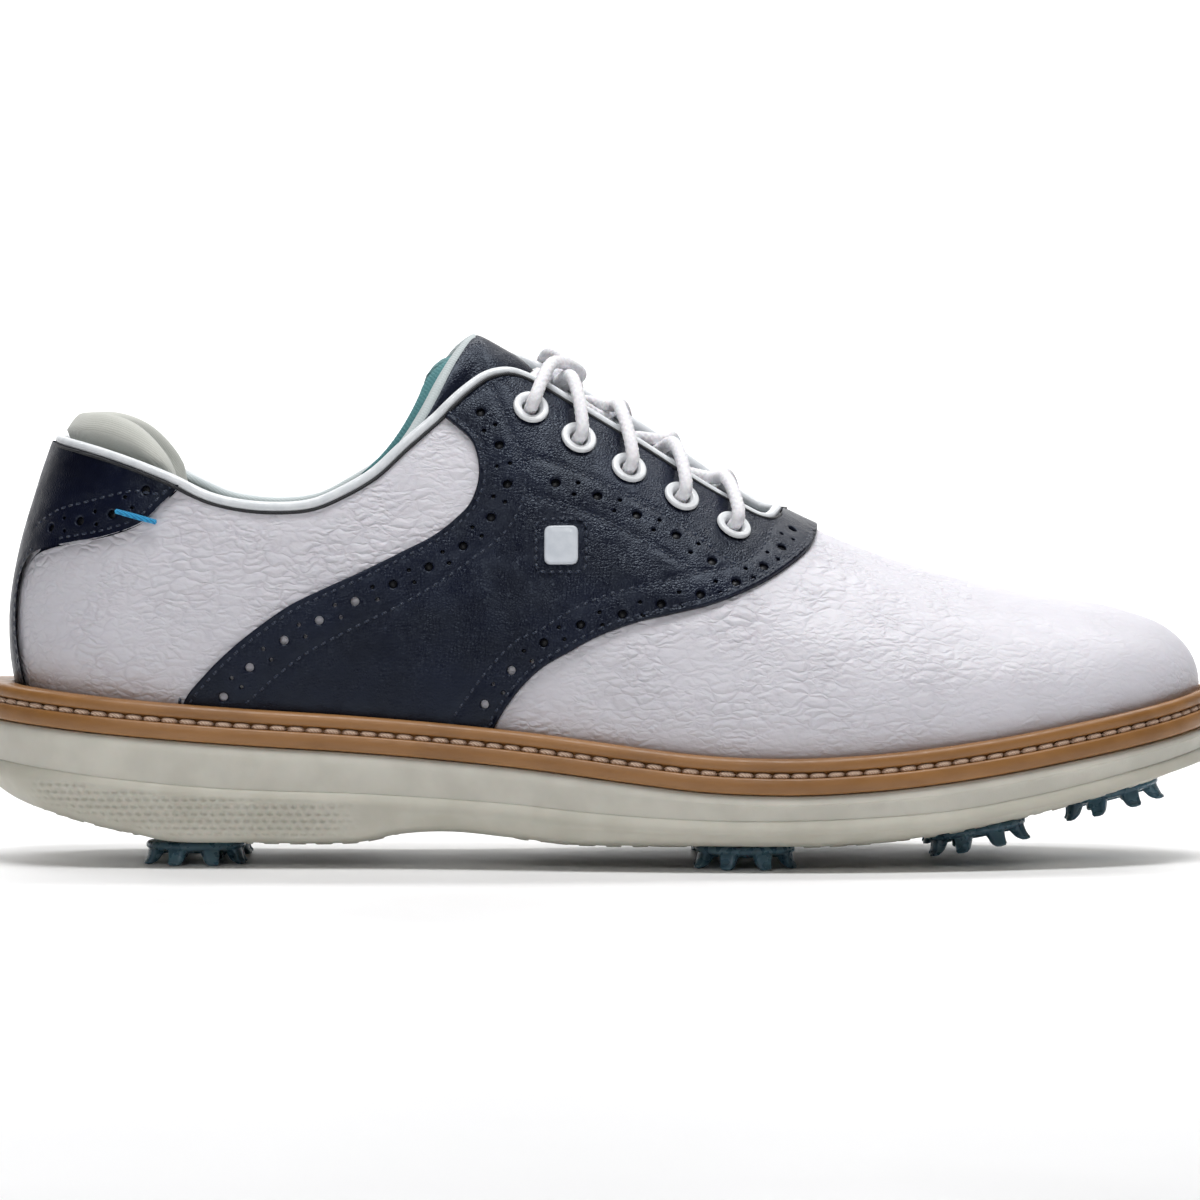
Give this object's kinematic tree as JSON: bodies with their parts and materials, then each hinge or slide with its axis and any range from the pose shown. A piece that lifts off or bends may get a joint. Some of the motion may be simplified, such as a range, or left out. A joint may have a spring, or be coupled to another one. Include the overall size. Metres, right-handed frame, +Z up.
{
  "type": "golf shoe",
  "caption": "Laced saddle golf shoe for a right foot, with a welted sole, a padded collar and tongue, and cleats that twist out.",
  "frame": {"origin": "bottom centre of the shoe's box, on the ground the cleats stand on", "axes": "+X toward the toe, +Y toward the inner (medial) side of the foot, +Z up"},
  "size_m": [0.3056, 0.1066, 0.1294],
  "materials": {
    "outsole": "matt moulded rubber, off-white",
    "midsole": "matt moulded foam, off-white",
    "welt": "tan ribbed welt, satin",
    "welt_thread": "twisted thread",
    "board": "pressed fibre board",
    "shank": "rolled spring steel",
    "footbed": "knitted cover over foam",
    "white_leather": "tumbled grain, semi-matt",
    "navy_leather": "smooth, satin",
    "vamp_lining": "brushed textile",
    "teal_lining": "spacer mesh textile",
    "collar_textile": "soft textile over foam",
    "foam": "open-cell foam",
    "piping": "folded edge binding, matt",
    "eyelet": "white enamel, satin",
    "lace": "round braided polyester",
    "cleat": "translucent polyurethane",
    "dark_plastic": "moulded nylon",
    "badge": "plain moulded badge",
    "bar_tack": "dense satin stitch"
  },
  "bodies": {
    "shoe": {"outsole": "outsole", "midsole": "midsole", "welt": "welt", "welt_stitching": "welt_thread", "insole_board": "board", "shank": "shank", "footbed": "footbed", "heel_stiffener": "board", "toe_puff": "board", "vamp": "white_leather", "quarter_lateral": "white_leather", "quarter_medial": "white_leather", "saddle_lateral": "navy_leather", "saddle_medial": "navy_leather", "heel_counter_cover": "navy_leather", "vamp_lining": "vamp_lining", "quarter_lining": "teal_lining", "heel_collar_pad": "collar_textile", "collar_binding": "piping", "lace": "lace", "aglet_lateral": "dark_plastic", "aglet_medial": "dark_plastic", "side_badge": "badge", "heel_bar_tack": "bar_tack", "eyelet_lateral_1": "eyelet", "eyelet_lateral_2": "eyelet", "eyelet_lateral_3": "eyelet", "eyelet_lateral_4": "eyelet", "eyelet_lateral_5": "eyelet", "eyelet_medial_1": "eyelet", "eyelet_medial_2": "eyelet", "eyelet_medial_3": "eyelet", "eyelet_medial_4": "eyelet", "eyelet_medial_5": "eyelet", "cleat_receptacle_heel_lateral": "dark_plastic", "cleat_receptacle_heel_medial": "dark_plastic", "cleat_receptacle_ball_lateral": "dark_plastic", "cleat_receptacle_ball_medial": "dark_plastic", "cleat_receptacle_front_lateral": "dark_plastic", "cleat_receptacle_front_medial": "dark_plastic", "cleat_receptacle_toe": "dark_plastic"},
    "tongue": {"tongue_leather": "navy_leather", "tongue_foam": "foam", "tongue_lining": "teal_lining", "tongue_binding": "piping"},
    "cleat_heel_lateral": {"cleat_heel_lateral": "cleat"},
    "cleat_heel_medial": {"cleat_heel_medial": "cleat"},
    "cleat_ball_lateral": {"cleat_ball_lateral": "cleat"},
    "cleat_ball_medial": {"cleat_ball_medial": "cleat"},
    "cleat_front_lateral": {"cleat_front_lateral": "cleat"},
    "cleat_front_medial": {"cleat_front_medial": "cleat"},
    "cleat_toe": {"cleat_toe": "cleat"}
  },
  "joints": [
    {"name": "tongue_press", "type": "hinge", "parent": "shoe", "child": "tongue", "pos_m": [0.0455, 0.004, 0.0745], "axis": [0, 1, 0], "range_deg": [-10, 0], "stiffness_Nm_per_rad": 0.3, "springref_deg": 5.73},
    {"name": "cleat_heel_lateral_twist", "type": "hinge", "parent": "shoe", "child": "cleat_heel_lateral", "pos_m": [-0.099, -0.017, 0.0056], "axis": [0, 0, -1], "range_deg": [0, 60]},
    {"name": "cleat_heel_medial_twist", "type": "hinge", "parent": "shoe", "child": "cleat_heel_medial", "pos_m": [-0.099, 0.016, 0.0056], "axis": [0, 0, -1], "range_deg": [0, 60]},
    {"name": "cleat_ball_lateral_twist", "type": "hinge", "parent": "shoe", "child": "cleat_ball_lateral", "pos_m": [0.0353, -0.031, 0.0056], "axis": [0, 0, -1], "range_deg": [0, 60]},
    {"name": "cleat_ball_medial_twist", "type": "hinge", "parent": "shoe", "child": "cleat_ball_medial", "pos_m": [0.0353, 0.027, 0.0056], "axis": [0, 0, -1], "range_deg": [0, 60]},
    {"name": "cleat_front_lateral_twist", "type": "hinge", "parent": "shoe", "child": "cleat_front_lateral", "pos_m": [0.092, -0.018, 0.00955], "axis": [0.1822, 0, -0.9833], "range_deg": [0, 60]},
    {"name": "cleat_front_medial_twist", "type": "hinge", "parent": "shoe", "child": "cleat_front_medial", "pos_m": [0.092, 0.024, 0.00955], "axis": [0.1822, 0, -0.9833], "range_deg": [0, 60]},
    {"name": "cleat_toe_twist", "type": "hinge", "parent": "shoe", "child": "cleat_toe", "pos_m": [0.126, 0.003, 0.01735], "axis": [0.2453, 0, -0.9694], "range_deg": [0, 60]}
  ]
}
